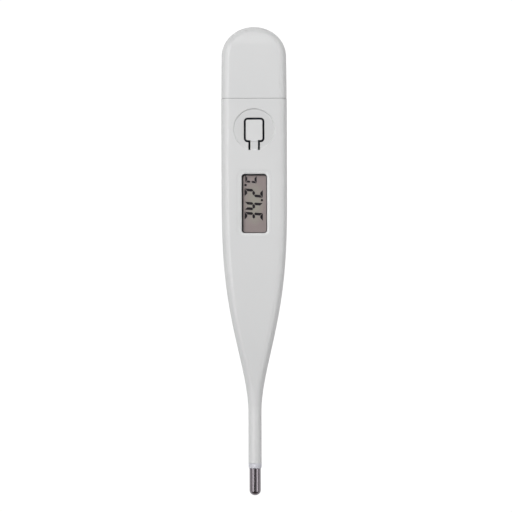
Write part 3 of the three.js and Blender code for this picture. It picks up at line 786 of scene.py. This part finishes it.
def cover_ring(x, y, outward, edge_radius, inset=0.0):
    """A ring over the cover through the outline point (x, y), rolling over at right angles to it."""
    x -= outward[0] * inset
    y -= outward[1] * inset
    radius = max(edge_radius - inset, 0.3)
    right = []
    for place, (cosine, sine) in enumerate(half_arc(ARC_STEPS)):
        inward = radius * (1 - cosine)
        point_y = y - outward[1] * inward
        droop = DROOP * max((point_y - DROOP_START) / (NOSE_END - DROOP_START), 0) ** 2
        half = MID - inset - droop
        side = 1 if place > ARC_STEPS else -1
        right.append((x - outward[0] * inward, point_y, MID + side * (half - radius) + radius * sine))
    left = [(-px, py, pz) for px, py, pz in reversed(right)]
    return right + left


def mouth_ring(y, inset):
    """The cover's section at its mouth, moved along to y."""
    ring = cover_ring(COVER_HALF_WIDTH, SEAM, (1, 0), EDGE_RADIUS, inset)
    return [(x, y, z) for x, _, z in ring]


def cover_rings(inset, mouth, start, side_steps, nose_steps):
    """The rings at the mouth, then along the sides from start, then round the nose."""
    rings = list(mouth)
    for y in spread(start, NOSE_START, side_steps):
        share = max(y - SEAM, 0) / (NOSE_START - SEAM)
        half_width = mix(COVER_HALF_WIDTH, NOSE_HALF_WIDTH, share**2)
        rings.append(cover_ring(half_width, y, (1, 0), EDGE_RADIUS, inset))
    for i in range(1, nose_steps + 1):
        angle = math.pi / 2 * i / nose_steps
        x = NOSE_HALF_WIDTH * math.cos(angle)
        y = NOSE_START + NOSE_DEPTH * math.sin(angle)
        normal = Vector((math.cos(angle) / NOSE_HALF_WIDTH, math.sin(angle) / NOSE_DEPTH)).normalized()
        radius = mix(EDGE_RADIUS, NOSE_EDGE_RADIUS, math.sin(angle) ** 2)
        rings.append(cover_ring(x, y, normal, radius, inset))
    return rings


def build_cover():
    rim = [mouth_ring(COVER_MOUTH + along, inset) for along, inset in SEAM_ROLL[:-1]]
    outer = cover_rings(0, rim, COVER_MOUTH + 0.09, 8, 48)
    opening = [mouth_ring(SEAM - 1, WALL)]
    inner = cover_rings(WALL, opening, COVER_MOUTH + 0.5, 6, 32)
    outside = skin("battery_cover_shell", outer, cap_end=False)
    inside = skin("cover_hollow", inner, cap_end=False)
    return carve(outside, inside)


finish_piece(build_cover(), "battery_cover", "battery_cover", SHELL)


# ---------- display ----------

FILM_CORNER = 0.3
GASKET_CORNER = 0.6


def plate(name, low, high, corner, edge):
    """A flat plate that fills a box, with rounded corners and rolled upper and lower edges."""
    outline_at = outline_of(high.x - low.x, high.y - low.y, corner)
    bottom = low.z
    top = high.z
    rings = []
    for inset, z in [(edge, bottom), (edge * 0.3, bottom + edge * 0.3), (0, bottom + edge)]:
        rings.append([(x, y, z) for x, y in outline_at(-inset)])
    for inset, z in [(0, top - edge), (edge * 0.3, top - edge * 0.3), (edge, top)]:
        rings.append([(x, y, z) for x, y in outline_at(-inset)])
    return skin(name, rings)


def build_lens():
    """A flange that lies in the rebate, and a plug that fills the opening below it."""
    flange_width = LENS_HIGH.x - LENS_LOW.x
    flange_length = LENS_HIGH.y - LENS_LOW.y
    flange = outline_of(flange_width, flange_length, FLANGE_CORNER)
    plug = outline_of(
        WINDOW_WIDTH - 2 * LENS_GAP, WINDOW_LENGTH - 2 * LENS_GAP, WINDOW_CORNER - LENS_GAP
    )
    underside = REBATE_FLOOR + 0.02
    levels = [
        (plug, -0.06, LENS_LOW.z),
        (plug, 0, LENS_LOW.z + 0.06),
        (plug, 0, underside - 0.05),
        (plug, 0.04, underside),
        (flange, -0.02, underside),
        (flange, 0, underside + 0.02),
        (flange, 0, LENS_HIGH.z - 0.03),
        (flange, -0.002, LENS_HIGH.z - 0.006),
        (flange, -0.006, LENS_HIGH.z),
    ]
    rings = [[(x, y, z) for x, y in outline(grow)] for outline, grow, z in levels]
    return skin("display_window", rings)


def gasket_cutter():
    """The foam's opening sits a little towards +X and -Y in the window, so the dark foam shows wider on the
    left and top: partly the real gasket, and partly a painted shadow of the window's edge.
    """
    # Painted shadow: the wider band of dark foam on the left and top stands in for the shade cast by the
    # window's edge.
    wide, narrow = 0.42, 0.18
    offset = (wide - narrow) / 2
    opening = outline_of(
        WINDOW_WIDTH - wide - narrow, WINDOW_LENGTH - wide - narrow, GASKET_CORNER, WINDOW_CENTRE - offset
    )

    def outline(grow):
        return [(x + offset, y) for x, y in opening(grow)]

    return flared_cutter("gasket_cutter", outline, FILM_HIGH.z - 1, lambda x, y: GASKET_HIGH.z, 0.08, 3)


finish_piece(build_lens(), BODY, "display_lens", LENS)

film = plate("display_ground", FILM_LOW, FILM_HIGH, FILM_CORNER, 0.03)
finish_piece(film, BODY, "lcd_front_polarizer", LCD_FILM)

gasket = carve(plate("gasket_frame", GASKET_LOW, GASKET_HIGH, GASKET_CORNER, 0.05), gasket_cutter())
finish_piece(gasket, BODY, "display_gasket", FOAM)

# Seven-segment figures read along +Y, with their tops towards -X.
STROKE = 0.71
UNIT_STROKE = 0.57
SEGMENT_GAP = 0.07
SLANT = 0.085
FIGURE_TOP = -2.6
SEGMENTS = {
    "a": ((0, 1), (1, 1)),
    "b": ((1, 1), (1, 0.5)),
    "c": ((1, 0.5), (1, 0)),
    "d": ((0, 0), (1, 0)),
    "e": ((0, 0.5), (0, 0)),
    "f": ((0, 1), (0, 0.5)),
    "g": ((0, 0.5), (1, 0.5)),
}
# Segments lit, the start of the figure along Y, its width, height and stroke, and how far it is
# set down. The last one is the unit's letter.
FIGURES = [
    ("abcdg", 10.97, 2.12, 4.87, STROKE, 0),
    ("bcfg", 13.64, 2.12, 4.87, STROKE, 0),
    ("abdeg", 17.18, 2.12, 4.87, STROKE, 0),
    ("adef", 20.96, 1.99, 3.05, UNIT_STROKE, 0.19),
]
# Round marks: distance along Y, distance down from the top of the figures, diameter.
MARKS = [(16.34, 4.62, 0.64), (20.39, 0.28, 0.7)]
MARK_SIDES = 16
SEGMENT_TOP = FILM_HIGH.z + 0.012


def segment_outline(start, end, centre, stroke):
    """A bar between two corners: mitred at the figure's corners, and pointed halfway up its sides."""
    start, end, centre = Vector(start), Vector(end), Vector(centre)
    along = (end - start).normalized()
    across = Vector((-along.y, along.x)) * stroke / 2
    if across.dot(start + end - 2 * centre) < 0:
        across = -across
    outline = []
    for point, inward in ((start, along), (end, -along)):
        mitre = -1 if abs(point.y - centre.y) > stroke else 1
        outer = point + inward * (SEGMENT_GAP + mitre * stroke / 2) + across
        tip = point + inward * SEGMENT_GAP
        inner = point + inward * (SEGMENT_GAP + stroke / 2) - across
        outline += [outer, tip, inner] if point is start else [inner, tip, outer]
    return outline


def place_on_display(reading, up, figure_height, drop):
    """From along the reading and up within a figure to x and y."""
    down = figure_height - up + drop
    return (FIGURE_TOP + down, reading + SLANT * (up - figure_height / 2))


def figure_outlines(lit, first, width, height, stroke, drop):
    """One outline for each segment that is lit."""
    outlines = []
    for letter in lit:
        ends = []
        for across, up in SEGMENTS[letter]:
            x = mix(stroke / 2, width - stroke / 2, across)
            y = mix(stroke / 2, height - stroke / 2, up)
            ends.append((x, y))
        bar = segment_outline(*ends, (width / 2, height / 2), stroke)
        outlines.append([place_on_display(first + x, y, height, drop) for x, y in bar])
    return outlines


def mark_outline(along, down, diameter):
    outline = []
    for i in range(MARK_SIDES):
        angle = 2 * math.pi * i / MARK_SIDES
        x = FIGURE_TOP + down + diameter / 2 * math.cos(angle)
        outline.append((x, along + diameter / 2 * math.sin(angle)))
    return outline


def build_segments():
    """Every segment and mark as a thin prism standing on the display's ground."""
    outlines = []
    for figure in FIGURES:
        outlines += figure_outlines(*figure)
    for mark in MARKS:
        outlines.append(mark_outline(*mark))
    points = []
    faces = []
    for outline in outlines:
        base = len(points)
        count = len(outline)
        points.extend((x, y, FILM_HIGH.z - 0.01) for x, y in outline)
        points.extend((x, y, SEGMENT_TOP) for x, y in outline)
        faces.append(tuple(range(base, base + count)))
        faces.append(tuple(reversed(range(base + count, base + 2 * count))))
        for i in range(count):
            j = (i + 1) % count
            faces.append((base + i, base + j, base + count + j, base + count + i))
    return new_object("display_figures", points, faces)


finish_piece(build_segments(), BODY, None, LCD_INK)


# ---------- probe ----------

TIP_WALL = 0.2
TIP_DOME = 1.35
COLLAR_FOOT = 1.52
COLLAR_FILLET = 0.65


def dome(radius, equator, depth, steps):
    """Profile points from the wall to the axis."""
    points = []
    for i in range(steps + 1):
        angle = math.pi / 2 * i / steps
        points.append((radius * math.cos(angle), equator - depth * math.sin(angle)))
    points[-1] = (0, equator - depth)
    return points


def build_tip():
    """A drawn cap with a domed end and a rounded lip."""
    radius = TIP_HIGH.x
    bore = radius - TIP_WALL
    equator = TIP_LOW.y + TIP_DOME
    mouth = TIP_HIGH.y
    outside = dome(radius, equator, TIP_DOME, 20)
    inside = dome(bore, equator, TIP_DOME - TIP_WALL, 16)
    lip = [
        (radius, mouth - 0.05),
        (radius - 0.04, mouth),
        (bore + 0.04, mouth),
        (bore, mouth - 0.05),
    ]
    return lathe_y("steel_tip", list(reversed(outside)) + lip + inside)


def build_collar():
    """Adhesive that has crept out of the joint and set in a soft fillet."""
    low, high = COLLAR_LOW.y, COLLAR_HIGH.y
    inner = SPIGOT_RADIUS + 0.05
    outer = COLLAR_HIGH.x
    profile = [(inner, low), (COLLAR_FOOT - 0.02, low)]
    for i in range(1, ARC_STEPS + 1):
        angle = math.pi / 2 * i / ARC_STEPS
        radius = mix(COLLAR_FOOT, outer, math.sin(angle))
        profile.append((radius, low + COLLAR_FILLET * (1 - math.cos(angle))))
    profile += [(outer, high - 0.03), (outer - 0.02, high), (inner, high)]
    return lathe_y("adhesive_collar", profile + [profile[0]])


finish_piece(build_tip(), BODY, "sensor_tip", STEEL)
finish_piece(build_collar(), BODY, "tip_adhesive_collar", ADHESIVE)


# ---------- pieces refined from their CAD nodes ----------


def refined(node, name, body, material, bevel, segments=2):
    """A copy of a CAD node with its flat facets merged and its edges rolled."""
    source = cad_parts[node]
    obj = duplicate(source, name)
    obj.data.transform(Matrix.Scale(1 / MM, 4))
    shape = bmesh.new()
    shape.from_mesh(obj.data)
    bmesh.ops.remove_doubles(shape, verts=shape.verts, dist=1e-3)
    bmesh.ops.dissolve_limit(
        shape,
        angle_limit=math.radians(1),
        use_dissolve_boundaries=False,
        verts=shape.verts,
        edges=shape.edges,
    )
    shape.to_mesh(obj.data)
    shape.free()
    roll = obj.modifiers.new("roll", "BEVEL")
    roll.width = bevel
    roll.segments = segments
    roll.limit_method = "ANGLE"
    roll.angle_limit = math.radians(40)
    carve(obj)
    return finish_piece(obj, body, node, material)


refined("inner_chassis", "chassis_frame", BODY, FRAME_PLASTIC, 0.12, 3)
refined("display_holder", "display_frame", BODY, FRAME_PLASTIC, 0.08)
refined("negative_contact_spring", "cell_spring_lower", BODY, SPRING_STEEL, 0.04)
refined("positive_contact_spring", "cell_spring_side", BODY, SPRING_STEEL, 0.04)
rubber = refined("switch_rubber", "switch_dome", None, RUBBER, 0.08)


# ---------- cell ----------

CELL_LOW, CELL_HIGH = box_mm("battery_can")
CAN_WALL = 0.25
CAN_SHOULDER = 0.3
CRIMP_RADIUS = 3.2


def build_can():
    """A drawn can, with a rolled shoulder, a pressed ring in its top and a crimp at its foot."""
    top = CELL_HIGH.z
    foot = CELL_LOW.z
    outer = CELL_HIGH.x
    inner = outer - CAN_WALL
    profile = [(0, top - CAN_WALL), (inner - 0.1, top - CAN_WALL), (inner, top - CAN_WALL - 0.15)]
    profile += [(inner, foot + 0.32), (CRIMP_RADIUS, foot + 0.22), (CRIMP_RADIUS, foot), (inner, foot)]
    profile += [(outer - 0.08, foot + 0.07), (outer, foot + 0.25), (outer, top - CAN_SHOULDER)]
    for i in range(1, 7):
        angle = math.pi / 2 * i / 6
        radius = outer - CAN_SHOULDER + CAN_SHOULDER * math.cos(angle)
        profile.append((radius, top - CAN_SHOULDER + CAN_SHOULDER * math.sin(angle)))
    profile += [(3.3, top), (3.22, top - 0.04), (3.1, top - 0.04), (3.02, top), (0, top)]
    return lathe_z("cell_can", profile, (CELL_LOW.y + CELL_HIGH.y) / 2)


finish_piece(build_can(), BODY, "battery_can", CELL_STEEL)
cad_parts["battery_negative_cap"].material_slots[0].material = CELL_STEEL


# ---------- rubber dome ----------

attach(rubber, BODY)
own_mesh(rubber)


# ---------- stage ----------


def card(name, size, location, rotation, colour, strength, seen_by):
    """A flat card that only the named kinds of ray can see, glowing evenly."""
    mesh = bpy.data.meshes.new(name)
    x, y = size[0] / 2, size[1] / 2
    mesh.from_pydata([(-x, -y, 0), (x, -y, 0), (x, y, 0), (-x, y, 0)], [], [(0, 1, 2, 3)])
    obj = bpy.data.objects.new(name, mesh)
    obj.location = location
    obj.rotation_euler = rotation
    bpy.context.scene.collection.objects.link(obj)
    made = Nodes(name)
    made.set(Base_Color=(0, 0, 0, 1), Emission_Color=(*colour, 1), Emission_Strength=strength)
    made.set(Specular_IOR_Level=0.0, Roughness=1.0)
    # Only the rays that may see the card should spend samples on it.
    made.material.cycles.emission_sampling = "NONE"
    mesh.materials.append(made.material)
    for kind in ("camera", "diffuse", "glossy", "transmission", "volume_scatter", "shadow"):
        setattr(obj, "visible_" + kind, kind in seen_by)


def add_light(name, side, location, power):
    """A square light aimed at the middle of the frame, and left out of reflections."""
    data = bpy.data.lights.new(name, "AREA")
    data.shape = "RECTANGLE"
    data.size = side
    data.size_y = side
    data.energy = power
    obj = bpy.data.objects.new(name, data)
    obj.location = location
    obj.rotation_euler = (-Vector(location)).to_track_quat("-Z", "Y").to_euler()
    obj.visible_glossy = False
    bpy.context.scene.collection.objects.link(obj)


WHITE = (1, 1, 1)
FLAT = (0, 0, 0)
UPRIGHT = (math.pi / 2, 0, 0)
TILTED = (math.radians(-20), 0, 0)

card("backdrop", (3, 3), (0, 0, -0.0001), FLAT, WHITE, 1.05, ("camera",))
card("floor_reflection", (3, 3), (0, 0, -0.0003), FLAT, WHITE, 0.6, ("glossy",))
card("end_flag", (0.3, 0.4), (0, -0.3, 0.15), UPRIGHT, (1, 0.75, 0.7), 0.08, ("glossy",))
card("top_strip", (0.8, 0.1), (0, 0.171, 0.47), TILTED, WHITE, 1.4, ("glossy",))

# Cards that are only seen in reflections, hung round the long axis: name, degrees from straight up
# towards +X, width across, where each starts and ends along Y, and strength. The first three light
# the body, and the rest the probe.
CARD_DISTANCE = 0.5
REFLECTED_CARDS = [
    ("left_strip", -18, 0.08, -0.07, 0.4, 4.0),
    ("left_card", -54, 0.28, -0.07, 0.4, 1.5),
    ("right_card", 56, 0.28, -0.07, 0.4, 1.35),
    ("probe_left", -42, 0.16, -0.4, -0.072, 1.8),
    ("probe_left_low", -68, 0.36, -0.4, -0.072, 0.42),
    ("probe_right", 43, 0.2, -0.4, -0.072, 1.5),
    ("probe_right_low", 74, 0.32, -0.4, -0.072, 0.36),
    ("probe_top", 0, 0.6, -0.4, -0.072, 0.16),
]
for name, angle, width, start, end, strength in REFLECTED_CARDS:
    turn = Euler((0, math.radians(angle), 0))
    place = Vector((0, 0, CARD_DISTANCE))
    place.rotate(turn)
    place.y = (start + end) / 2
    card(name, (width, end - start), place, turn, WHITE, strength, ("glossy",))

# Name, side, place and power.
LIGHTS = [
    ("key", 0.4, (-0.35, 0, 0.65), 2.66),
    ("top", 0.4, (0, 0.35, 0.65), 2.86),
    ("fill", 0.4, (0.7, 0, 0.3), 0.75),
    ("foot", 0.4, (0, -0.7, 0.3), 0.46),
    ("floor_bounce", 3, (0, 0, -0.4), 40),
]
for light in LIGHTS:
    add_light(*light)

world = bpy.data.worlds.new("studio")
world.use_nodes = True
background = world.node_tree.nodes["Background"]
background.inputs["Color"].default_value = (1, 1, 1, 1)
background.inputs["Strength"].default_value = 0.08
bpy.context.scene.world = world
bpy.context.scene.view_settings.view_transform = "Standard"


# ---------- camera ----------

VIEW_WIDTH = 136.9
VIEW_CENTRE = (0.4, 1.47)
FOCAL_LENGTH = 250
SENSOR = 36
ROLL = -0.003

camera_data = bpy.data.cameras.new("camera")
camera_data.lens = FOCAL_LENGTH
camera_data.sensor_width = SENSOR
camera = bpy.data.objects.new("camera", camera_data)
camera.location = (
    VIEW_CENTRE[0] * MM,
    VIEW_CENTRE[1] * MM,
    (MID + VIEW_WIDTH * FOCAL_LENGTH / SENSOR) * MM,
)
camera.rotation_euler = (0, 0, ROLL)
bpy.context.scene.collection.objects.link(camera)
bpy.context.scene.camera = camera
